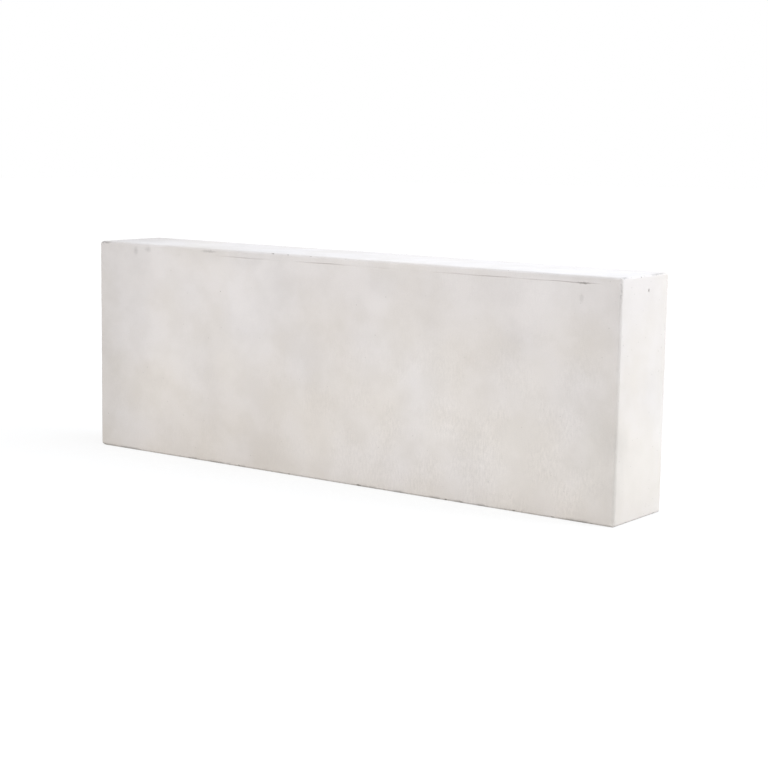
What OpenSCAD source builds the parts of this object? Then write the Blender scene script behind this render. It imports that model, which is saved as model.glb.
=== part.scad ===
// Solid cast concrete step. One block, cast in one piece, standing on its back face.
// X runs along the step, -Y is the tread, +Y the bed, +Z the riser. Millimetres.

/* [Block] */
// Length of the step, end to end
step_length = 1000; // [400:10:2000]
// Rise of the step, which is the block's thickness from tread to bed
step_rise = 140; // [100:1:200]
// Depth of the tread, which is the block's height while it stands on its back face
step_depth = 350; // [250:5:450]

/* [Arrises] */
// Rounding of the four long arrises, along the length
long_arris_r = 3; // [1:0.5:6]
// Rounding of the four arrises where tread and bed meet the ends
upright_arris_r = 4; // [1:0.5:8]
// Rounding of the two arrises across the left end, where it meets riser and back face
left_cross_r = 8; // [1:0.5:12]
// Rounding of the two arrises across the right end, where it meets riser and back face
right_cross_r = 3; // [1:0.5:12]

/* [Casting line] */
// Distance of the casting line from the riser's face, across the tread
line_drop = 11; // [8:0.5:40]
// Width of the casting line at the tread's surface
line_width = 1.6; // [0.8:0.2:3]
// Depth of the casting line at its middle
line_depth = 1; // [0.4:0.1:3]
// Plain tread between the left end and the start of the casting line
line_left_gap = 260; // [15:5:260]
// Plain tread between the end of the casting line and the right end
line_right_gap = 28; // [15:1:100]

/* [Hidden] */
// Sides of a full circle, high enough to count as a true circle
arc_sides = 64;
// How far a cutter stands clear of the surface that it cuts
cutter_clear = 2;
// Outward step from the middle of the block to the tread's face
tread_y = -step_rise / 2;
// Height of the casting line above the face that the block stands on
line_z = step_depth - line_drop;
// Length of the casting line, what the two plain stretches leave of the step
line_length = step_length - line_left_gap - line_right_gap;
concrete_colour = [0.87, 0.85, 0.83];

// Rectangle about the origin whose corners are true arcs.
// radii holds one radius each for: left bottom, right bottom, right top, left top.
module rounded_outline(width, height, radii)
{
    half_w = width / 2;
    half_h = height / 2;
    union()
    {
        // flat sides, with a straight chord across each corner
        polygon([
            [-half_w + radii[0], -half_h],
            [half_w - radii[1], -half_h],
            [half_w, -half_h + radii[1]],
            [half_w, half_h - radii[2]],
            [half_w - radii[2], half_h],
            [-half_w + radii[3], half_h],
            [-half_w, half_h - radii[3]],
            [-half_w, -half_h + radii[0]],
        ]);
        // the circle whose arc stands proud of each chord
        corner_x = [-1, 1, 1, -1];
        corner_y = [-1, -1, 1, 1];
        for (i = [0:3])
            translate([
                corner_x[i] * (half_w - radii[i]),
                corner_y[i] * (half_h - radii[i]),
            ])
                circle(r = radii[i], $fn = arc_sides);
    }
}

// Seen from above: it rounds the upright arrises.
module plan_prism()
{
    linear_extrude(height = step_depth, center = true)
        rounded_outline(step_length, step_rise, [for (i = [0:3]) upright_arris_r]);
}

// Seen from an end: it rounds the long arrises.
module section_prism()
{
    rotate([90, 0, 90])
        linear_extrude(height = step_length, center = true)
            rounded_outline(step_rise, step_depth, [for (i = [0:3]) long_arris_r]);
}

// Seen from the tread's side: it rounds the arrises across the two ends.
module face_prism()
{
    rotate([90, 0, 0])
        linear_extrude(height = step_rise, center = true)
            rounded_outline(
                step_length,
                step_depth,
                [left_cross_r, right_cross_r, right_cross_r, left_cross_r]
            );
}

// The casting left by the mould, all arrises rounded, standing on z = 0.
module casting()
{
    translate([0, 0, step_depth / 2])
        intersection()
        {
            plan_prism();
            section_prism();
            face_prism();
        }
}

// V-shaped cutter for the casting line. Its flanks run on past the tread's face,
// so that the line has line_width at the surface and line_depth below it.
module casting_line()
{
    half_mouth = line_width / 2 * (line_depth + cutter_clear) / line_depth;
    translate([-step_length / 2 + line_left_gap, tread_y, line_z])
        rotate([90, 0, 90])
            linear_extrude(height = line_length)
                polygon([
                    [line_depth, 0],
                    [-cutter_clear, half_mouth],
                    [-cutter_clear, -half_mouth],
                ]);
}

module step_block()
{
    color(concrete_colour)
        difference()
        {
            casting();
            casting_line();
        }
}

step_block();
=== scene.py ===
# %% [markdown]
# # A cast concrete step
# The object is one solid block of pale concrete, cast in a mould and laid as a single step of
# a stair. It is kept standing on its long narrow back face, so the tread looks towards -Y,
# the riser looks up and the right end looks towards +X.
#
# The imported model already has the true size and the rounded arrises. What it lacks is what
# makes concrete look like concrete: faces that are not quite flat, arrises that lost small
# chips when the mould came off, air holes, and a cloudy, chalky surface. This lesson builds
# those on a new mesh that fills the same box.

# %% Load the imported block
import math
import random

import bmesh
import bpy
from mathutils import Euler, Matrix, Vector, noise


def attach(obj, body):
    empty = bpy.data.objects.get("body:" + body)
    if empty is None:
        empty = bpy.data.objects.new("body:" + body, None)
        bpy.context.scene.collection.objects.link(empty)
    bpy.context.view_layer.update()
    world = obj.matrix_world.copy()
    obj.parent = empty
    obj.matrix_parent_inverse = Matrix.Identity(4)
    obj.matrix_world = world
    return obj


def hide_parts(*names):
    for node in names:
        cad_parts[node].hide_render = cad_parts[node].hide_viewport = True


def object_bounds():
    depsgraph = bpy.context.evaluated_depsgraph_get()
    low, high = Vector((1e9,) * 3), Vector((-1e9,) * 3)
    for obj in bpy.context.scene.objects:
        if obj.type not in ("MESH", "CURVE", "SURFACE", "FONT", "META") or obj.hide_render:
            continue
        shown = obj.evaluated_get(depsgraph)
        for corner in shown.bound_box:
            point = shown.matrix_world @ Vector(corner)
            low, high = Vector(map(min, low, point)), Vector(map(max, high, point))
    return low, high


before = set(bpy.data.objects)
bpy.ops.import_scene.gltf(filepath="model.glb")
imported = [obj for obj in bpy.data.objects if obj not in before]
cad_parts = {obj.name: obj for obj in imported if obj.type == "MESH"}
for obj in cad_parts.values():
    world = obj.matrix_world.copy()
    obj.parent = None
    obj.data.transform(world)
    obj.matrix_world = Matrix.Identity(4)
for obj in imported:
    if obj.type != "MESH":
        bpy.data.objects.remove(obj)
cad_low, cad_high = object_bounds()
block_size = cad_high - cad_low
block_middle = (cad_low + cad_high) / 2
print("block, metres:", [round(side, 4) for side in block_size])

# %% [markdown]
# ## Camera
# The camera stands to the right of the block and a little above it, and looks down by a few
# degrees, so the tread, the right end and a sliver of the riser all show. A long lens keeps
# the upright arrises nearly parallel. The place and the three turns are written as matrices,
# one after the other, because they read in the order that a hand would set them.

# %% Camera
camera_data = bpy.data.cameras.new("studio_camera")
camera_data.sensor_width = 36
camera_data.lens = 84.4
camera_data.clip_end = 100
camera = bpy.data.objects.new("studio_camera", camera_data)
bpy.context.scene.collection.objects.link(camera)

camera_place = Vector((1.686, -2.247, 0.555))
turn_left = math.radians(36.08)
look_down = math.radians(8.26)
lean = math.radians(0.93)
camera.matrix_world = (
    Matrix.Translation(camera_place)
    @ Matrix.Rotation(turn_left, 4, "Z")
    @ Matrix.Rotation(math.radians(90) - look_down, 4, "X")
    @ Matrix.Rotation(lean, 4, "Z")
)
bpy.context.scene.camera = camera
bpy.context.scene.view_settings.view_transform = "Standard"
print("camera to block, metres:", round((camera_place - block_middle).length, 3))

# %% [markdown]
# ## Helpers
# An operator acts on everything that is selected, and the loaded model comes in selected, so
# each step starts by clearing the selection. Sizes of small things are easier to read in
# millimetres, so one constant turns them into metres.

# %% Helpers
MM = 0.001


def select_only(thing):
    bpy.ops.object.select_all(action="DESELECT")
    thing.select_set(True)
    bpy.context.view_layer.objects.active = thing


def apply_modifier(thing, modifier):
    select_only(thing)
    bpy.ops.object.modifier_apply(modifier=modifier.name)


def add_node(tree, kind, place, **settings):
    made = tree.nodes.new(kind)
    made.location = place
    for name, value in settings.items():
        setattr(made, name, value)
    return made


# %% [markdown]
# ## The block
# The mould gave a plain box, so the start is a cube at the block's size and place. Its twelve
# arrises were eased by different amounts: the upright ones a little more than the long ones,
# and the ones across the left end most. One Bevel modifier can do all of them when every edge
# carries its own bevel weight, and then the corners where three arrises meet are worked out
# together.

# %% Cube at the block's size
bpy.ops.object.select_all(action="DESELECT")
bpy.ops.mesh.primitive_cube_add(size=1, location=block_middle, scale=block_size)
block = bpy.context.active_object
block.name = "concrete_block"
block.data.name = "concrete_block"
bpy.ops.object.transform_apply(location=True, rotation=True, scale=True)
print("plain block, faces:", len(block.data.polygons))

# %% [markdown]
# A bevel weight is a share of the modifier's width, so the widest arris sets that width and
# has weight 1. An edge is told from the others by the way it runs: along the block, upright, or
# across one of its ends.

# %% Ease the arrises
long_arris = 3 * MM
upright_arris = 4 * MM
left_cross_arris = 8 * MM
right_cross_arris = 3 * MM
widest_arris = left_cross_arris

weights = block.data.attributes.new("bevel_weight_edge", "FLOAT", "EDGE")
for edge in block.data.edges:
    first, second = (block.data.vertices[i].co for i in edge.vertices)
    along = second - first
    if abs(along.x) > 0.5 * block_size.x:
        width = long_arris
    elif abs(along.z) > 0.5 * block_size.z:
        width = upright_arris
    elif first.x < block_middle.x:
        width = left_cross_arris
    else:
        width = right_cross_arris
    weights.data[edge.index].value = width / widest_arris

easing = block.modifiers.new("easing", "BEVEL")
easing.limit_method = "WEIGHT"
easing.offset_type = "OFFSET"
easing.width = widest_arris
easing.segments = 5
easing.profile = 0.5
apply_modifier(block, easing)
print("eased block, faces:", len(block.data.polygons))

# %% [markdown]
# The big faces are still single rectangles, and nothing can bend or wander on those. Selecting
# every edge that runs the length of one side, and subdividing them together, cuts the rings
# of faces into even strips, as a loop cut would. The operator makes at most 100 cuts at a
# time, so each side is first cut into a few long pieces, and then into cells of about 4 mm.

# %% Cut the faces into a grid
grid_step = 4.3 * MM
most_cuts = 100


def cut_along(thing, axis, pieces, shortest):
    """Cuts each face that runs along one axis, and is at least so long, into equal pieces."""
    select_only(thing)
    bpy.ops.object.mode_set(mode="EDIT")
    bpy.ops.mesh.select_mode(type="EDGE")
    bpy.ops.mesh.select_all(action="DESELECT")
    edit = bmesh.from_edit_mesh(thing.data)
    for edge in edit.edges:
        along = edge.verts[1].co - edge.verts[0].co
        edge.select_set(abs(along[axis]) > shortest)
    bmesh.update_edit_mesh(thing.data)
    bpy.ops.mesh.subdivide(number_cuts=pieces - 1)
    bpy.ops.object.mode_set(mode="OBJECT")


for axis in range(3):
    side = block_size[axis]
    cells = round(side / grid_step)
    long_pieces = math.ceil(cells / most_cuts)
    if long_pieces > 1:
        cut_along(block, axis, long_pieces, 0.8 * side)
    cut_along(block, axis, round(cells / long_pieces), 0.8 * side / long_pieces)
print("gridded block, faces:", len(block.data.polygons))

# %% [markdown]
# ## The casting line
# A fine line runs along the tread, 11 mm under the riser's face, where the mould's rim met its
# wall. It is a shallow groove. A boolean with a long thin cutter would work, but the line has
# to wander and fade, so it is safer to keep it part of the grid: three bisecting planes cut
# the row of cells there, and the vertices on the middle one are then pushed inwards. A vertex
# group holds how deep each of them goes. A group is looked up by its name from then on,
# because applying a modifier makes the groups anew.

# %% Bisect the row of cells at the line
line_drop = 11 * MM
line_half_width = 0.8 * MM
line_depth = 1.1 * MM
line_left = cad_low.x + 260 * MM
line_right = cad_high.x - 28 * MM
line_height = cad_high.z - line_drop
skin = 0.01 * MM


def is_on_tread(place):
    return place.y < cad_low.y + skin


def is_on_line(place, reach):
    in_span = line_left - grid_step < place.x < line_right + grid_step
    return is_on_tread(place) and in_span and abs(place.z - line_height) < reach


for offset in (-line_half_width, 0, line_half_width):
    select_only(block)
    bpy.ops.object.mode_set(mode="EDIT")
    bpy.ops.mesh.select_mode(type="FACE")
    bpy.ops.mesh.select_all(action="DESELECT")
    edit = bmesh.from_edit_mesh(block.data)
    for face in edit.faces:
        face.select_set(is_on_line(face.calc_center_median(), grid_step))
    bmesh.update_edit_mesh(block.data)
    bpy.ops.mesh.bisect(
        plane_co=(0, 0, line_height + offset),
        plane_no=(0, 0, 1),
    )
    bpy.ops.object.mode_set(mode="OBJECT")

# %% [markdown]
# The groove is not equally deep all along. The mould's two parts met tightly in some places
# and gaped in others, so its depth is given at a few places, in millimetres from the block's
# middle, and blended in between. A little noise keeps the blends from looking drawn.

# %% Push the middle of the line inwards
line_feel = (
    (-245, 0), (-225, 0.5), (-170, 0.7), (-90, 0.1), (-20, 1), (50, 0.2), (90, 0.4),
    (130, 0.1), (240, 0.55), (300, 0.85), (340, 0.55), (400, 0.8), (440, 1), (475, 0),
)
waves_per_metre = 60
noise_place = Vector((0, 0.4, 7.1))


def line_strength(x):
    """0 where the line has faded out, up to 1 where it is deepest."""
    for (before, weak), (after, strong) in zip(line_feel, line_feel[1:]):
        if before * MM <= x <= after * MM:
            share = (x / MM - before) / (after - before)
            unevenness = 1 + 0.5 * noise.noise(Vector((x * waves_per_metre, 0, 0)) + noise_place)
            return (weak + (strong - weak) * share) * unevenness
    return 0


line_floor = block.vertex_groups.new(name="line_floor")
line_rows = block.vertex_groups.new(name="line_rows")
for vertex in block.data.vertices:
    if is_on_line(vertex.co, 1.1 * line_half_width):
        line_rows.add([vertex.index], 1, "REPLACE")
    if is_on_line(vertex.co, skin):
        line_floor.add([vertex.index], min(line_strength(vertex.co.x), 1), "REPLACE")

sinking = block.modifiers.new("sinking", "DISPLACE")
sinking.direction = "Y"
sinking.vertex_group = "line_floor"
sinking.mid_level = 0
sinking.strength = line_depth
apply_modifier(block, sinking)
print("casting line, mm:", round((line_right - line_left) / MM), "long")

# %% [markdown]
# The line is not ruled straight either. All three rows of its vertices drift up and down
# together, by a Displace modifier that reads a soft cloud texture. A Displace modifier moves
# by strength times (texture - mid level), so a mid level of a half drifts both ways.

# %% Let the line wander
def cloud_texture(name, wavelength, depth=1):
    texture = bpy.data.textures.new(name, "CLOUDS")
    texture.noise_scale = wavelength
    texture.noise_depth = depth
    texture.noise_basis = "IMPROVED_PERLIN"
    return texture


def displace(thing, name, wavelength, strength, direction, mid_level, group="", depth=1):
    moving = thing.modifiers.new(name, "DISPLACE")
    moving.texture = cloud_texture(name, wavelength, depth)
    moving.texture_coords = "LOCAL"
    moving.direction = direction
    moving.mid_level = mid_level
    moving.strength = strength
    moving.vertex_group = group
    apply_modifier(thing, moving)


displace(block, "line_drift", 60 * MM, 2.0 * MM, "Z", 0.5, "line_rows")

# %% [markdown]
# ## Faces and arrises that are not quite true
# A mould's boards bow a little and swell where they are wet, so each face of a casting is out
# of flat by a few tenths of a millimetre. The arrises are rougher, because the paste there is
# thin and rubs off. Both are Displace modifiers with mid level 1, which only ever moves the
# surface inwards, so the block never outgrows its box. The arrises are picked by a vertex
# group: a vertex belongs to it when it lies on none of the six flat faces.

# %% Bow the faces and rub the arrises
arrises = block.vertex_groups.new(name="arrises")
for vertex in block.data.vertices:
    off_low = [vertex.co[axis] - cad_low[axis] for axis in range(3)]
    off_high = [cad_high[axis] - vertex.co[axis] for axis in range(3)]
    nearest_face = min(off_low + off_high)
    if nearest_face > skin and nearest_face < widest_arris:
        arrises.add([vertex.index], 1, "REPLACE")
line_groups = {block.vertex_groups[name].index for name in ("line_floor", "line_rows")}
on_line = [v.index for v in block.data.vertices if line_groups & {g.group for g in v.groups}]
arrises.remove(on_line)

displace(block, "board_bow", 160 * MM, 0.5 * MM, "NORMAL", 1.0, depth=2)
displace(block, "arris_rub", 14 * MM, 0.9 * MM, "NORMAL", 1.0, "arrises", depth=2)
print("kept free for the casting line, vertices:", len(on_line))

# %% [markdown]
# ## Air holes and chips
# Air that is trapped against the mould leaves small round holes. Pulling the mould off, and
# every knock since, takes flakes out of the arrises. Both are cut with a boolean, because it
# gives them real rims and shadows. Each kind of cutter is modelled once, from an icosphere
# whose vertices are shaken, then copied, stretched, turned and placed. All the copies are
# joined, so the block is cut only once.

# %% Model the two cutters
def model_cutter(name, shake, seed):
    bpy.ops.object.select_all(action="DESELECT")
    bpy.ops.mesh.primitive_ico_sphere_add(subdivisions=2, radius=1)
    cutter = bpy.context.active_object
    cutter.name = name
    bpy.ops.object.mode_set(mode="EDIT")
    bpy.ops.mesh.select_all(action="SELECT")
    bpy.ops.transform.vertex_random(offset=shake, uniform=0.3, normal=0.7, seed=seed)
    bpy.ops.object.mode_set(mode="OBJECT")
    return cutter


air_hole = model_cutter("air_hole", 0.12, 5)
flake = model_cutter("flake", 0.35, 9)
shapes = {"air_hole": air_hole, "flake": flake}
cuts = []


def place_cut(kind, place, radii, turn=(0, 0, 0)):
    """Keeps one cut: which cutter, its middle, its three half widths in mm, and its turn."""
    cuts.append((kind, Vector(place), Vector(radii) * MM, Euler(turn)))


# %% [markdown]
# The marks that tell this block from its neighbours come first: a deep hole near the top of
# the right end and a small one on the arris above it, a long flake on the casting line with a
# hole under it, three shallow holes on the tread's left half, and a flake on the left arris.
# They are placed one by one, in millimetres from the middle of the face that the block stands on.

# %% Marks that tell this block apart
tread_y = cad_low.y
right_x = cad_high.x
riser_z = cad_high.z
left_x = cad_low.x

place_cut("air_hole", (right_x, 9 * MM, 328 * MM), (3.4, 1.1, 2.8))
place_cut("air_hole", (right_x, -14 * MM, riser_z - 2 * MM), (1.5, 1.5, 1.3))
place_cut("flake", (439 * MM, tread_y, 339 * MM), (7.0, 0.9, 0.8))
place_cut("air_hole", (437 * MM, tread_y, 322 * MM), (0.7, 0.4, 0.8))
place_cut("air_hole", (-416 * MM, tread_y, 338 * MM), (0.7, 0.25, 0.9))
place_cut("air_hole", (-388 * MM, tread_y, 341 * MM), (0.9, 0.25, 0.5))
place_cut("air_hole", (-229 * MM, tread_y, 282 * MM), (1.6, 0.4, 0.8))
place_cut("flake", (left_x + 0.5 * MM, tread_y + 0.5 * MM, 122 * MM), (2.0, 2.0, 2.4))
print("placed one by one:", len(cuts))

# %% [markdown]
# The rest are strewn with a seeded random generator, so every run gives the same block. A
# face is described by the axis it looks along and its side. A new mark is dropped when it
# would touch one that is already there, because cutters that cross each other make slivers.
# A shaken cutter reaches past its radii, and the room that is kept round it allows for that.

# %% Strew air holes over the faces
strewing = random.Random(41)
shaken_reach = 1.4


def has_room(place, reach):
    for kind, other, radii, turn in cuts:
        if (place - other).length < shaken_reach * (reach + max(radii)):
            return False
    return True


def strew_holes(axis, side, count, smallest, largest):
    """Air holes on one face: axis 0, 1 or 2, and the coordinate of the face along it."""
    margin = 12 * MM
    made = 0
    for attempt in range(6 * count):
        if made == count:
            break
        place = Vector(
            [strewing.uniform(low + margin, high - margin) for low, high in zip(cad_low, cad_high)]
        )
        place[axis] = side
        radius = smallest + (largest - smallest) * strewing.random() ** 3
        if not has_room(place, 2 * radius * MM):
            continue
        radii = [radius * strewing.uniform(0.8, 1.3) for turned in range(3)]
        radii[axis] = radius * strewing.uniform(0.4, 0.8)
        place_cut("air_hole", place, radii)
        made += 1


strew_holes(0, cad_low.x, 10, 0.6, 1.8)
strew_holes(0, cad_high.x, 4, 0.5, 0.8)
strew_holes(1, cad_low.y, 7, 0.4, 0.6)
strew_holes(1, cad_high.y, 34, 0.6, 2.2)
strew_holes(2, cad_low.z, 14, 0.6, 2.0)
strew_holes(2, cad_high.z, 9, 0.5, 0.8)
print("with air holes:", len(cuts))

# %% [markdown]
# Flakes sit on the arrises. Along each one they are spaced unevenly, longer than they are
# deep, and their middles lie just outside the concrete, so that each takes off a thin shell.
# The tread's lower arris, which the block is tipped over when it is handled, has lost most.

# %% Strew flakes along the arrises
longest_flake = 2.4


def strew_flakes(axis, ends, others, count, smallest, largest):
    """Flakes along an arris parallel to axis, between two ends, at the other two places."""
    made = 0
    for attempt in range(6 * count):
        if made == count:
            break
        place = Vector()
        place[axis] = strewing.uniform(*ends)
        across = [other for other in range(3) if other != axis]
        for other, where in zip(across, others):
            inwards = math.copysign(1, block_middle[other] - where)
            place[other] = where + inwards * strewing.uniform(0, 0.8) * MM
        size = smallest + (largest - smallest) * strewing.random() ** 2
        if not has_room(place, longest_flake * size * MM):
            continue
        radii = [size, size, size]
        radii[axis] = size * strewing.uniform(1.2, longest_flake)
        turn = [strewing.uniform(-0.3, 0.3) for turned in range(3)]
        place_cut("flake", place, radii, turn)
        made += 1


x_ends = (cad_low.x + 12 * MM, cad_high.x - 8 * MM)
handled_end = (440 * MM, 492 * MM)
y_ends = (cad_low.y + 8 * MM, cad_high.y - 8 * MM)
z_ends = (cad_low.z + 8 * MM, cad_high.z - 8 * MM)
strew_flakes(0, x_ends, (cad_low.y, cad_low.z), 34, 1.6, 3.2)
strew_flakes(0, handled_end, (cad_low.y, cad_low.z), 4, 2.0, 2.8)
strew_flakes(0, x_ends, (cad_low.y, cad_high.z), 8, 1.2, 1.9)
strew_flakes(0, x_ends, (cad_high.y, cad_low.z), 18, 1.4, 3.2)
strew_flakes(0, x_ends, (cad_high.y, cad_high.z), 14, 1.3, 2.6)
strew_flakes(1, y_ends, (cad_high.x, cad_low.z), 9, 1.2, 2.4)
strew_flakes(1, y_ends, (cad_high.x, cad_high.z), 8, 1.2, 1.8)
strew_flakes(1, y_ends, (cad_low.x, cad_low.z), 4, 1.6, 3.0)
strew_flakes(1, y_ends, (cad_low.x, cad_high.z), 3, 1.6, 2.8)
strew_flakes(2, z_ends, (cad_high.x, cad_low.y), 7, 1.4, 2.2)
strew_flakes(2, z_ends, (cad_high.x, cad_high.y), 7, 1.4, 2.6)
strew_flakes(2, z_ends, (cad_low.x, cad_low.y), 6, 1.4, 2.4)
strew_flakes(2, z_ends, (cad_low.x, cad_high.y), 6, 1.4, 2.8)
print("with flakes:", len(cuts))

# %% [markdown]
# ## Concrete
# Cast concrete is matt and nearly white-grey here, but never one colour. From far to near it
# has broad clouds where the paste dried unevenly, smaller mottles, grains of sand, faint
# upright streaks where water ran down the mould, pale specks of lime and pinprick pores. The
# ends and the foot are a little darker, as painted shade. Most of it is worked out from
# Object coordinates, so the pattern is fixed to the block and runs on round its arrises, and
# the rest is kept on the mesh.
# Three small helpers keep the long chain of nodes readable.

# %% Node helpers
def read_noise(tree, coordinates, scale, detail, place):
    made = add_node(tree, "ShaderNodeTexNoise", place)
    made.inputs["Scale"].default_value = scale
    made.inputs["Detail"].default_value = detail
    tree.links.new(coordinates, made.inputs["Vector"])
    return made.outputs["Fac"]


def spread(tree, value, old, new, place):
    """Maps the range old to the range new, and stops at its ends."""
    made = add_node(tree, "ShaderNodeMapRange", place, interpolation_type="SMOOTHSTEP")
    made.inputs["From Min"].default_value = old[0]
    made.inputs["From Max"].default_value = old[1]
    made.inputs["To Min"].default_value = new[0]
    made.inputs["To Max"].default_value = new[1]
    tree.links.new(value, made.inputs["Value"])
    return made.outputs["Result"]


def calculate(tree, operation, first, second, place):
    """One Math node. Either input is a socket or a plain number."""
    made = add_node(tree, "ShaderNodeMath", place, operation=operation)
    for socket, value in zip(made.inputs, (first, second)):
        if isinstance(value, (int, float)):
            socket.default_value = value
        else:
            tree.links.new(value, socket)
    return made.outputs["Value"]


# %% [markdown]
# Both materials of the block start alike: a Principled shader with little gloss, and Object
# coordinates. The skin also needs two of those coordinates by themselves, how far a point is
# along the block and how high it is, since much of what happened to the block went by those.

# %% Start the concrete material
def start_material(name):
    material = bpy.data.materials.new(name)
    material.use_nodes = True
    tree = material.node_tree
    shader = tree.nodes["Principled BSDF"]
    shader.location = (1400, 0)
    tree.nodes["Material Output"].location = (1700, 0)
    shader.inputs["Specular IOR Level"].default_value = 0.25
    coordinates = add_node(tree, "ShaderNodeTexCoord", (-1200, 0)).outputs["Object"]
    return material, tree, shader, coordinates


concrete, tree, shader, coordinates = start_material("cast_concrete")
links = tree.links
parts = add_node(tree, "ShaderNodeSeparateXYZ", (-1000, -500))
links.new(coordinates, parts.inputs["Vector"])
along, height = parts.outputs["X"], parts.outputs["Z"]

# %% [markdown]
# The colour starts as two tones of grey that drift into each other over about 200 mm, by a
# soft noise. Nearly everything after this only makes it a little darker or paler, so that is
# kept as one number, the shade, that the colour is multiplied by at the end.

# %% Clouds of colour
clouds = read_noise(tree, coordinates, 5.0, 3, (-800, 400))
tones = add_node(tree, "ShaderNodeValToRGB", (-400, 400))
tones.color_ramp.elements[0].position = 0.36
tones.color_ramp.elements[0].color = (0.686, 0.645, 0.618, 1)
tones.color_ramp.elements[1].position = 0.64
tones.color_ramp.elements[1].color = (0.720, 0.683, 0.661, 1)
links.new(clouds, tones.inputs["Fac"])

# %% [markdown]
# Streaks show on the tread and the bed, which stood upright in the wet, and so does the
# painted shade at the foot. The right end is calmer than the rest. Two masks say where a
# point is, as soft steps, so that nothing begins with a hard edge.

# %% Masks for where things happen
depth = calculate(tree, "ABSOLUTE", parts.outputs["Y"], 0, (-800, -400))
on_wide_face = spread(tree, depth, (cad_high.y - 4 * MM, cad_high.y - 1 * MM), (0, 1), (-600, -400))
calm_end = spread(tree, along, (cad_high.x - 4 * MM, cad_high.x - 1 * MM), (1, 0.5), (-600, -600))

# %% [markdown]
# Mottles are noise at a wavelength of a few centimetres, sand the same at 2 mm, and streaks a
# noise that is stretched upwards by a Mapping node. Streaks gather at the right and near the
# foot, and come in gusts, so their strength is the product of four masks. Where they are
# strong the sand stands out more too.

# %% Mottles, sand and streaks
mottle_range = (-0.026, 0.026)
mottles = read_noise(tree, coordinates, 22, 6, (-800, 150))
mottles = spread(tree, mottles, (0.34, 0.66), mottle_range, (-600, 150))
mottles = calculate(tree, "MULTIPLY", mottles, calm_end, (-400, 150))
sand = read_noise(tree, coordinates, 600, 4, (-800, -50))
sand = spread(tree, sand, (0.3, 0.7), (-0.022, 0.022), (-600, -50))
stretch = add_node(tree, "ShaderNodeMapping", (-1000, -250))
stretch.inputs["Scale"].default_value = (300, 300, 110)
links.new(coordinates, stretch.inputs["Vector"])
runs = read_noise(tree, stretch.outputs["Vector"], 1, 3, (-800, -250))
runs = spread(tree, runs, (0.3, 0.7), (-0.05, 0.05), (-600, -250))
to_the_right = spread(tree, along, (-0.2, 0.3), (0.25, 1), (-800, -450))
to_the_foot = spread(tree, height, (0.08, 0.28), (1, 0.25), (-800, -650))
where = calculate(tree, "MULTIPLY", to_the_right, to_the_foot, (-600, -500))
where = calculate(tree, "MULTIPLY", where, on_wide_face, (-400, -500))
gusts = read_noise(tree, coordinates, 16, 3, (-800, -750))
gusts = spread(tree, gusts, (0.38, 0.62), (0.1, 1), (-600, -750))
where = calculate(tree, "MULTIPLY", where, gusts, (-200, -500))
streaks = calculate(tree, "MULTIPLY", runs, where, (-400, -300))
sand_strength = calculate(tree, "MULTIPLY", where, 0.9, (-400, -50))
sand_strength = calculate(tree, "ADD", sand_strength, 0.55, (-300, -50))
sand_tone = calculate(tree, "MULTIPLY", sand, sand_strength, (-200, -50))
sand_tone = calculate(tree, "MULTIPLY", sand_tone, calm_end, (0, -50))

# %% [markdown]
# The block is darker towards its left end, its right end and its foot, as painted shade where
# the light falls off and near the floor. At the ends a soft step along the block darkens it.
# At the foot the painted shade climbs to uneven heights, so the height is first shifted by a
# stretched noise.

# %% Painted shade at the ends and the foot
# painted shade: darker towards the left end, the right end and the foot
painted_shade_left_end = spread(tree, along, (cad_low.x, cad_low.x + 140 * MM), (0.89, 1), (-800, -850))
painted_shade_right_end = spread(tree, along, (cad_high.x - 100 * MM, cad_high.x), (1, 0.95), (-800, -1050))
climb_map = add_node(tree, "ShaderNodeMapping", (-1000, -1250))
climb_map.inputs["Scale"].default_value = (34, 34, 5)
links.new(coordinates, climb_map.inputs["Vector"])
climb = read_noise(tree, climb_map.outputs["Vector"], 1, 2, (-800, -1250))
climb = calculate(tree, "MULTIPLY", climb, -0.10, (-600, -1250))
climb = calculate(tree, "ADD", climb, height, (-400, -1250))
painted_shade_foot = spread(tree, climb, (-0.06, 0.04), (-0.012, 0), (-200, -1250))
painted_shade_foot = calculate(tree, "MULTIPLY", painted_shade_foot, on_wide_face, (0, -1250))
painted_end_and_foot_shade = calculate(tree, "MULTIPLY", painted_shade_left_end, painted_shade_right_end, (-600, -950))
painted_end_and_foot_shade = calculate(tree, "ADD", painted_end_and_foot_shade, painted_shade_foot, (200, -1050))

# %% [markdown]
# Specks of lime and pinprick pores are small round things with clear edges. A Voronoi texture
# gives the distance to the nearest of many scattered points, and cutting that off makes
# round dots. Only a fifth of the cells gets a pore, picked by the cell's own colour. The pores
# are darker in the colour, as painted shade inside them.

# %% Specks and pores
speck_cells = add_node(tree, "ShaderNodeTexVoronoi", (-800, -1500))
speck_cells.inputs["Scale"].default_value = 200
links.new(coordinates, speck_cells.inputs["Vector"])
specks = spread(tree, speck_cells.outputs["Distance"], (0.08, 0.15), (0.035, 0), (-600, -1500))
specks = calculate(tree, "MULTIPLY", specks, where, (-400, -1500))
pore_cells = add_node(tree, "ShaderNodeTexVoronoi", (-800, -1800))
pore_cells.inputs["Scale"].default_value = 110
links.new(coordinates, pore_cells.inputs["Vector"])
pore_pick = add_node(tree, "ShaderNodeSeparateColor", (-600, -1900))
links.new(pore_cells.outputs["Color"], pore_pick.inputs["Color"])
pore_reach = spread(tree, pore_pick.outputs["Red"], (0.8, 1.0), (0.0, 0.11), (-400, -1900))
pores = calculate(tree, "LESS_THAN", pore_cells.outputs["Distance"], pore_reach, (-200, -1800))
# painted shade inside the pores
painted_pore_shade = calculate(tree, "MULTIPLY", pores, -0.15, (0, -1800))
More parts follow.
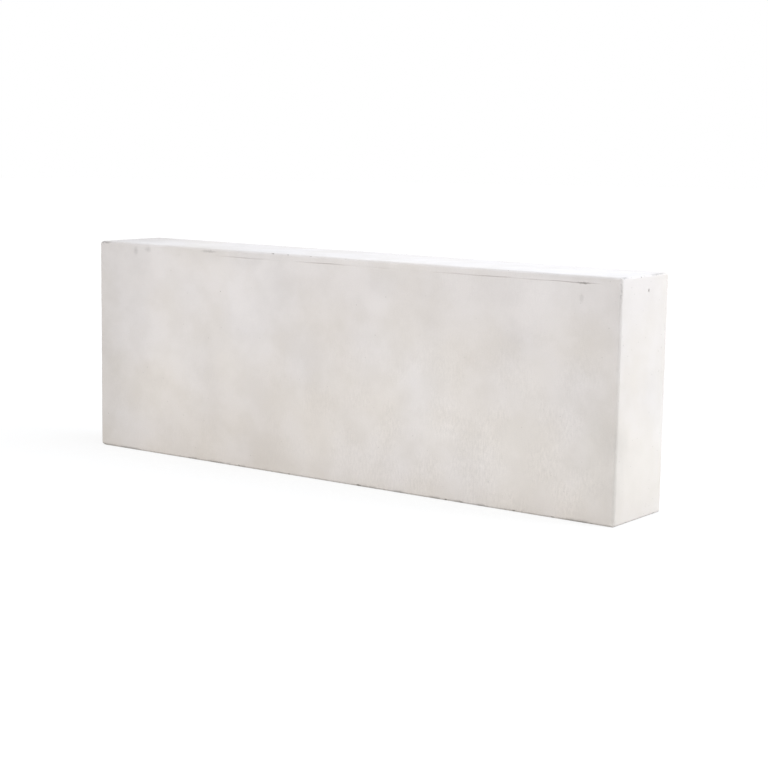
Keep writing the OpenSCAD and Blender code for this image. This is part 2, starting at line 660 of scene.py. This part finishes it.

# %% [markdown]
# The shade starts as the sum of the mottles, the sand, the streaks and the painted shade at
# the ends and the foot. Next come smudges, whose edges are frayed by adding a little noise to
# the point that is shaded. A Multiply Add node brings the noise, which lies round a half, to
# both sides of zero.

# %% Start the shade and fray the coordinates
fray_width = Vector((5, 5, 5)) * MM
fray = add_node(tree, "ShaderNodeTexNoise", (-1000, -2300))
fray.inputs["Scale"].default_value = 260
fray.inputs["Detail"].default_value = 3
links.new(coordinates, fray.inputs["Vector"])
shift = add_node(tree, "ShaderNodeVectorMath", (-800, -2300), operation="MULTIPLY_ADD")
shift.inputs[1].default_value = fray_width
shift.inputs[2].default_value = -fray_width / 2
links.new(fray.outputs["Color"], shift.inputs[0])
frayed = add_node(tree, "ShaderNodeVectorMath", (-600, -2300), operation="ADD")
links.new(coordinates, frayed.inputs[0])
links.new(shift.outputs["Vector"], frayed.inputs[1])
shade = calculate(tree, "ADD", mottles, sand_tone, (200, 100))
shade = calculate(tree, "ADD", shade, streaks, (0, 0))
shade = calculate(tree, "ADD", shade, painted_end_and_foot_shade, (200, -100))

# %% [markdown]
# Some smudges have a place of their own: round the holes under the riser, at both ends of the
# casting line, along the left arris and at its top, and on the right end's upper and front
# arrises. Round the holes and at the casting line they are dirt. Along the left upright arris
# and on the right end's upper arris they are painted shade, which dims arrises that would
# catch the light. Each smudge is a soft ellipsoid in the block's own coordinates. A Mapping
# node of the Texture kind moves and scales the point so that the smudge becomes a unit ball,
# and its length tells how far out the point lies.

# %% Smudges
dirt_and_shade_smudges = (
    # x, y, z of the middle and how far it reaches along x, y and z, in mm, then its tone
    (-416, -70, 337, 8, 8, 10, 0.84),
    (-388, -70, 341, 10, 8, 7, 0.85),
    (-254, -70, 345, 22, 8, 3, 0.75),
    (-487, -70, 348, 18, 8, 3, 0.62),
    # painted shade along the left upright arris
    (-500, -69, 175, 3, 4, 400, 0.75),
    (437, -70, 318, 5, 8, 10, 0.89),
    (439, -70, 339, 14, 8, 2.4, 0.66),
    (420, -70, 346, 100, 12, 8, 0.94),
    (499, -69.5, 331, 2.2, 3.2, 30, 0.66),
    # painted shade: the next two dim the right end's upper arris, which would catch the light
    (500, -60, 350, 7, 14, 3.5, 0.5),
    (500, 36, 350, 6, 36, 3.5, 0.6),
)
for number, (*place, wide, deep, high, tone) in enumerate(dirt_and_shade_smudges):
    row = -2700 - 250 * number
    ball = add_node(tree, "ShaderNodeMapping", (-400, row), vector_type="TEXTURE")
    ball.inputs["Location"].default_value = Vector(place) * MM
    ball.inputs["Scale"].default_value = Vector((wide, deep, high)) * MM
    links.new(frayed.outputs["Vector"], ball.inputs["Vector"])
    length = add_node(tree, "ShaderNodeVectorMath", (-200, row), operation="LENGTH")
    links.new(ball.outputs["Vector"], length.inputs[0])
    tint = spread(tree, length.outputs["Value"], (0.1, 1), (tone, 1), (0, row))
    shade = calculate(tree, "MULTIPLY", shade, tint, (200, row))
print("smudges:", len(dirt_and_shade_smudges))

# %% [markdown]
# The broad clouds and the painted shade in the casting line come from the mesh, which carries
# a number for each vertex under a name, and an Attribute node reads it. Both attributes are
# made further down, when the mesh is ready for them.

# %% Add broad clouds, specks, pores and the casting line's painted shade
cloud = add_node(tree, "ShaderNodeAttribute", (200, 300), attribute_name="cloud_tone")
shade = calculate(tree, "MULTIPLY", shade, cloud.outputs["Fac"], (400, 0))
shade = calculate(tree, "ADD", shade, specks, (400, -200))
shade = calculate(tree, "ADD", shade, painted_pore_shade, (600, -300))
line_shade_attribute = add_node(tree, "ShaderNodeAttribute", (400, -600), attribute_name="line_painted_shade")
# painted shade in the casting line's groove
line_painted_shade_tone = spread(tree, line_shade_attribute.outputs["Fac"], (0, 1), (1, 0.85), (600, -600))
shade = calculate(tree, "MULTIPLY", shade, line_painted_shade_tone, (800, -300))

# %% [markdown]
# The arrises have lost their smooth skin and are a shade darker, more in some places than in
# others, and least at the foot. Part of that darkening is painted shade, which dims arrises
# that would catch the light. The mesh says where they are, in an attribute of its own.

# %% Worn arrises, partly painted shade
arris_wear_and_shade_reader = add_node(tree, "ShaderNodeAttribute", (400, -900), attribute_name="arris_wear_and_shade")
patches = read_noise(tree, coordinates, 55, 3, (200, -1100))
patches = spread(tree, patches, (0.35, 0.65), (0.4, 1), (400, -1100))
# wear and painted shade on the arrises
arris_wear_and_painted_shade = calculate(tree, "MULTIPLY", arris_wear_and_shade_reader.outputs["Fac"], patches, (600, -900))
above_foot = spread(tree, height, (4 * MM, 8 * MM), (-0.02, -0.06), (600, -1100))
arris_wear_and_painted_shade = calculate(tree, "MULTIPLY", arris_wear_and_painted_shade, above_foot, (800, -900))
arris_wear_and_painted_shade = calculate(tree, "ADD", arris_wear_and_painted_shade, 1, (1000, -900))
shade = calculate(tree, "MULTIPLY", shade, arris_wear_and_painted_shade, (1000, -300))

# %% [markdown]
# The lowest 6 mm is darker in places, as painted shadow where the block meets the floor: a
# band by height is multiplied by a noise that is cut off to patches.

# %% Painted shadow along the foot
# painted shadow along the foot, in patches
painted_foot_shadow_band = spread(tree, height, (1 * MM, 6 * MM), (-0.30, 0), (400, -1500))
foot_noise = read_noise(tree, coordinates, 20, 5, (200, -1700))
foot_picks = spread(tree, foot_noise, (0.50, 0.60), (0, 1), (400, -1700))
painted_foot_shadow = calculate(tree, "MULTIPLY", painted_foot_shadow_band, foot_picks, (600, -1500))
painted_foot_shadow = calculate(tree, "MULTIPLY", painted_foot_shadow, calm_end, (800, -1500))
painted_foot_shadow = calculate(tree, "ADD", painted_foot_shadow, 1, (1000, -1500))
shade = calculate(tree, "MULTIPLY", shade, painted_foot_shadow, (1200, -300))

# %% [markdown]
# The last step of the colour is a slight drift from warm to cool. The block is warmer towards
# its foot and cooler towards its riser. A noise with the height added to it runs through a
# colour ramp, which has a tint at each end, and the tint, the two greys and the shade are
# multiplied with each other.

# %% Warm at the foot, cool at the riser
warmth = read_noise(tree, coordinates, 11, 3, (-800, 700))
cooler_up = spread(tree, height, (0, cad_high.z), (-0.14, 0.14), (-800, 950))
warmth = calculate(tree, "ADD", warmth, cooler_up, (-600, 700))
warm_tint = add_node(tree, "ShaderNodeValToRGB", (-400, 700))
warm_tint.color_ramp.elements[0].position = 0.30
warm_tint.color_ramp.elements[0].color = (1.003, 0.996, 0.968, 1)
warm_tint.color_ramp.elements[1].position = 0.70
warm_tint.color_ramp.elements[1].color = (0.995, 1.0, 1.012, 1)
links.new(warmth, warm_tint.inputs["Fac"])
tinted = add_node(tree, "ShaderNodeVectorMath", (0, 500), operation="MULTIPLY")
links.new(tones.outputs["Color"], tinted.inputs[0])
links.new(warm_tint.outputs["Color"], tinted.inputs[1])
colour = add_node(tree, "ShaderNodeVectorMath", (1100, 100), operation="SCALE")
links.new(tinted.outputs["Vector"], colour.inputs[0])
links.new(shade, colour.inputs["Scale"])
links.new(colour.outputs["Vector"], shader.inputs["Base Color"])

# %% [markdown]
# Darker mottles are a little rougher. The sand and the pores are too fine to model, so a Bump
# node shades them as if they stood out or sank in, with 1 mm for its full height.

# %% Roughness and fine relief
roughness = spread(tree, mottles, mottle_range, (0.94, 0.84), (1100, -100))
links.new(roughness, shader.inputs["Roughness"])
pore_depth = calculate(tree, "MULTIPLY", pores, 0.3, (600, -1300))
relief = calculate(tree, "SUBTRACT", sand, pore_depth, (800, -1300))
bump = add_node(tree, "ShaderNodeBump", (1100, -400))
bump.inputs["Strength"].default_value = 0.6
bump.inputs["Distance"].default_value = 1.0 * MM
links.new(relief, bump.inputs["Height"])
links.new(bump.outputs["Normal"], shader.inputs["Normal"])
print("cast concrete, nodes:", len(tree.nodes))

# %% [markdown]
# Where a flake or an air hole opens the skin, the sand and stone behind it show. That is
# darker and rougher than the skin, so the cutters carry a second material, and the boolean
# passes it on to the faces that it makes.

# %% Broken concrete
broken, tree, shader, coordinates = start_material("broken_concrete")
grains = read_noise(tree, coordinates, 450, 4, (-800, 200))
broken_tones = add_node(tree, "ShaderNodeValToRGB", (-400, 200))
broken_tones.color_ramp.elements[0].position = 0.35
broken_tones.color_ramp.elements[0].color = (0.33, 0.305, 0.28, 1)
broken_tones.color_ramp.elements[1].position = 0.65
broken_tones.color_ramp.elements[1].color = (0.55, 0.52, 0.49, 1)
tree.links.new(grains, broken_tones.inputs["Fac"])
tree.links.new(broken_tones.outputs["Color"], shader.inputs["Base Color"])
rough_bump = add_node(tree, "ShaderNodeBump", (600, -300))
rough_bump.inputs["Distance"].default_value = 0.6 * MM
tree.links.new(grains, rough_bump.inputs["Height"])
tree.links.new(rough_bump.outputs["Normal"], shader.inputs["Normal"])
shader.inputs["Roughness"].default_value = 0.95

# %% [markdown]
# The casting line's groove is darker, as painted shade, and the arrises are worn and darker,
# partly as painted shade. Both are kept on the mesh itself, as attributes that the concrete
# material reads. They repeat the two vertex groups: how deep the bottom of the groove is, up
# to 1, and 1 on the arrises.

# %% Painted shade in the casting line, wear and painted shade on the arrises
for name, group_name in (("line_painted_shade", "line_floor"), ("arris_wear_and_shade", "arrises")):
    group = block.vertex_groups[group_name]
    attribute = block.data.attributes.new(name, "FLOAT", "POINT")
    for vertex in block.data.vertices:
        for member in vertex.groups:
            if member.group == group.index:
                attribute.data[vertex.index].value = member.weight

block.data.materials.append(concrete)

# %% [markdown]
# One copy of a cutter is made for each mark, and all of them are joined into one object. A
# cut can fail and leave no faces at all, so the faces are counted afterwards. If it failed,
# it is made again on a copy of the mesh that was kept.

# %% Cut the marks out of the block
pieces = []
for number, (kind, place, radii, turn) in enumerate(cuts):
    mesh = shapes[kind].data.copy()
    mesh.materials.append(broken)
    stretched = Matrix.Diagonal((*radii, 1))
    turned = turn.to_matrix().to_4x4()
    mesh.transform(Matrix.Translation(place) @ turned @ stretched)
    piece = bpy.data.objects.new(f"cutter_{number}", mesh)
    bpy.context.scene.collection.objects.link(piece)
    pieces.append(piece)
select_only(pieces[0])
for piece in pieces:
    piece.select_set(True)
bpy.ops.object.join()
all_cutters = bpy.context.active_object

uncut = block.data.copy()
most_tries = 5
for attempt in range(most_tries):
    cutting = block.modifiers.new("cutting", "BOOLEAN")
    cutting.operation = "DIFFERENCE"
    cutting.object = all_cutters
    cutting.solver = "EXACT"
    cutting.material_mode = "TRANSFER"
    apply_modifier(block, cutting)
    if len(block.data.polygons) > len(uncut.polygons):
        break
    print("the cut failed and is made again")
    block.data = uncut.copy()
for spent in (all_cutters, air_hole, flake):
    bpy.data.objects.remove(spent)
print("cut block, faces:", len(block.data.polygons))

# %% [markdown]
# Each broad cloud of this block has a place and a tone of its own. Where the paste dried last
# it stayed darker, and where it was rubbed it is paler; the last two clouds only make the
# riser darker towards its left and paler in its middle. They are much wider than the cells of
# the grid, so they can be kept on the mesh as well, one tone for each vertex. That is lighter
# than a chain of shader nodes for every cloud. It comes after the cut, because the vertices
# that the boolean makes need a tone too. The noise that frays the clouds is seeded first, or
# it would take its seed from the clock.

# %% Broad clouds, one tone for each vertex
broad_clouds = (
    # x, y, z of the middle, then how far it reaches along x, y and z, then its tone
    (-250, -70, 190, 45, 60, 65, 0.955),
    (-95, -70, 300, 70, 60, 45, 0.96),
    (-75, -70, 190, 45, 60, 50, 0.98),
    (30, -70, 230, 50, 60, 45, 0.975),
    (180, -70, 240, 50, 60, 50, 0.955),
    (335, -70, 235, 60, 60, 50, 0.96),
    (130, -70, 325, 110, 60, 40, 0.96),
    (-120, -70, 30, 110, 60, 60, 0.97),
    (-475, -70, 160, 50, 60, 170, 0.965),
    (-415, -70, 290, 80, 60, 90, 0.98),
    (490, -70, 120, 110, 40, 190, 0.95),
    (495, -70, 85, 75, 40, 110, 0.95),
    (200, -70, 125, 70, 60, 60, 1.04),
    (90, -70, 190, 100, 60, 50, 1.03),
    (50, -70, 130, 150, 60, 80, 1.02),
    (75, -70, 280, 55, 60, 45, 1.02),
    (-200, -70, 350, 280, 60, 30, 0.94),
    (410, -70, 200, 90, 60, 250, 0.975),
    (500, 40, 180, 60, 60, 100, 0.965),
    (150, 0, 350, 230, 80, 40, 1.03),
    (-230, 0, 350, 90, 80, 40, 0.985),
)
cloud_fray = 18
noise.seed_set(11)


def cloud_tone(place):
    """The product of the tones of all broad clouds at a place."""
    fray = noise.turbulence_vector(place * 22, 3, False) * cloud_fray
    here = place / MM + fray
    tone = 1
    for x, y, z, wide, deep, high, middle_tone in broad_clouds:
        out = Vector(((here.x - x) / wide, (here.y - y) / deep, (here.z - z) / high)).length
        if out < 1:
            fade = 1 - out * out * (3 - 2 * out)
            tone *= 1 + (middle_tone - 1) * fade
    return tone


tones_kept = block.data.attributes.new("cloud_tone", "FLOAT", "POINT")
for vertex in block.data.vertices:
    tones_kept.data[vertex.index].value = cloud_tone(vertex.co)
print("broad clouds:", len(broad_clouds))

# %% [markdown]
# The shading is smooth over the bowed faces and the arrises, but stays sharp at the rims of
# holes and flakes, which turn by more than 32 degrees. Small faces round a hole would pull
# the normals of the big flat faces with them. A Weighted Normal modifier lets the largest
# face at each vertex decide, so the flat faces stay evenly lit.

# %% Smooth the shading, but keep the rims sharp
select_only(block)
bpy.ops.object.shade_smooth_by_angle(angle=math.radians(32))
true_faces = block.modifiers.new("true_faces", "WEIGHTED_NORMAL")
true_faces.mode = "FACE_AREA"
true_faces.weight = 50
true_faces.keep_sharp = True
apply_modifier(block, true_faces)
triangles = sum(len(face.vertices) - 2 for face in block.data.polygons)
print("finished block, triangles:", triangles)

# %% [markdown]
# ## Studio
# The block stands on a pale floor that runs out of sight, with white all round. The floor and
# the world are white only for what the camera sees directly: a Light Path node swaps in a
# plain white there. For the light that reaches the block they stay ordinary, so the white
# background adds nothing to it. Some of the floor's own shading is kept for the camera, and
# the block's soft shadow shows in it.

# %% Floor
bpy.ops.object.select_all(action="DESELECT")
floor_radius = 14
just_below = (0, 0, -0.1 * MM)
bpy.ops.mesh.primitive_circle_add(
    vertices=96, radius=floor_radius, fill_type="NGON", location=just_below
)
floor = bpy.context.active_object
floor.name = "studio_floor"
bpy.ops.object.transform_apply(location=True, rotation=True, scale=True)


def seen_directly(tree, place):
    """1 for what the camera sees, also in a mirror or through glass, and else 0."""
    path = add_node(tree, "ShaderNodeLightPath", place)
    x, y = place
    either = calculate(
        tree, "MAXIMUM", path.outputs["Is Camera Ray"], path.outputs["Is Glossy Ray"], (x + 200, y)
    )
    return calculate(tree, "MAXIMUM", either, path.outputs["Is Transmission Ray"], (x + 400, y))


floor_paint = bpy.data.materials.new("studio_floor")
floor_paint.use_nodes = True
tree = floor_paint.node_tree
tree.nodes.remove(tree.nodes["Principled BSDF"])
plain = add_node(tree, "ShaderNodeBsdfDiffuse", (-200, -200))
plain.inputs["Color"].default_value = (0.72, 0.72, 0.72, 1)
faint = add_node(tree, "ShaderNodeBsdfDiffuse", (-200, 200))
faint.inputs["Color"].default_value = (0.22, 0.22, 0.22, 1)
white = add_node(tree, "ShaderNodeEmission", (-200, 0))
floor_place = add_node(tree, "ShaderNodeTexCoord", (-800, 0)).outputs["Object"]
way_out = add_node(tree, "ShaderNodeVectorMath", (-600, 0), operation="LENGTH")
tree.links.new(floor_place, way_out.inputs[0])
glow = spread(tree, way_out.outputs["Value"], (0.8, 2.0), (0.78, 0.88), (-400, 0))
tree.links.new(glow, white.inputs["Strength"])
both = add_node(tree, "ShaderNodeAddShader", (0, 100))
choose = add_node(tree, "ShaderNodeMixShader", (200, 0))
tree.links.new(faint.outputs["BSDF"], both.inputs[0])
tree.links.new(white.outputs["Emission"], both.inputs[1])
tree.links.new(seen_directly(tree, (-600, 400)), choose.inputs["Fac"])
tree.links.new(plain.outputs["BSDF"], choose.inputs[1])
tree.links.new(both.outputs["Shader"], choose.inputs[2])
tree.links.new(choose.outputs["Shader"], tree.nodes["Material Output"].inputs["Surface"])
floor.data.materials.append(floor_paint)

# %% [markdown]
# The world lights the block softly from all sides, with a strength below 1. What the camera
# sees of it is plain white.

# %% World
world = bpy.data.worlds.new("studio")
bpy.context.scene.world = world
world.use_nodes = True
tree = world.node_tree
ambient = tree.nodes["Background"]
ambient.inputs["Color"].default_value = (1, 1, 1, 1)
ambient.inputs["Strength"].default_value = 0.8
backdrop = add_node(tree, "ShaderNodeBackground", (0, -200))
backdrop.inputs["Color"].default_value = (1, 1, 1, 1)
backdrop.inputs["Strength"].default_value = 1
choose = add_node(tree, "ShaderNodeMixShader", (300, 0))
tree.links.new(seen_directly(tree, (-500, 300)), choose.inputs["Fac"])
tree.links.new(ambient.outputs["Background"], choose.inputs[1])
tree.links.new(backdrop.outputs["Background"], choose.inputs[2])
tree.links.new(choose.outputs["Shader"], tree.nodes["World Output"].inputs["Surface"])

# %% [markdown]
# Three soft boxes light the block. The one off the right end stands behind the plane of the
# tread, so it lifts the end without touching the tread. A wide one in front fills the tread
# evenly, and a bluish one overhead, also behind the tread's plane, keeps the riser the
# brightest of all. Each is aimed by pointing its -Z axis at the block.

# %% Soft boxes
def soft_box(name, place, aim, side, watts, tint):
    data = bpy.data.lights.new(name, "AREA")
    data.shape = "SQUARE"
    data.size = side
    data.energy = watts
    data.color = tint
    lamp = bpy.data.objects.new(name, data)
    bpy.context.scene.collection.objects.link(lamp)
    lamp.location = place
    lamp.rotation_euler = (Vector(aim) - Vector(place)).to_track_quat("-Z", "Y").to_euler()


soft_box("right_box", (2.3, 0.9, 1.1), (0.5, 0, 0.15), 1.2, 25, (0.98, 1.0, 1.0))
soft_box("front_box", (-0.4, -2.8, 0.8), (-0.1, 0, 0.15), 1.8, 22.5, (1.0, 0.985, 0.965))
soft_box("overhead_box", (0.75, 0.5, 2.1), (0.2, 0, 0.3), 1.6, 26, (0.73, 0.85, 1.0))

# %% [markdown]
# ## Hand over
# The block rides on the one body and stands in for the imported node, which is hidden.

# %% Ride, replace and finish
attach(block, "root")
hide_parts("step_block")
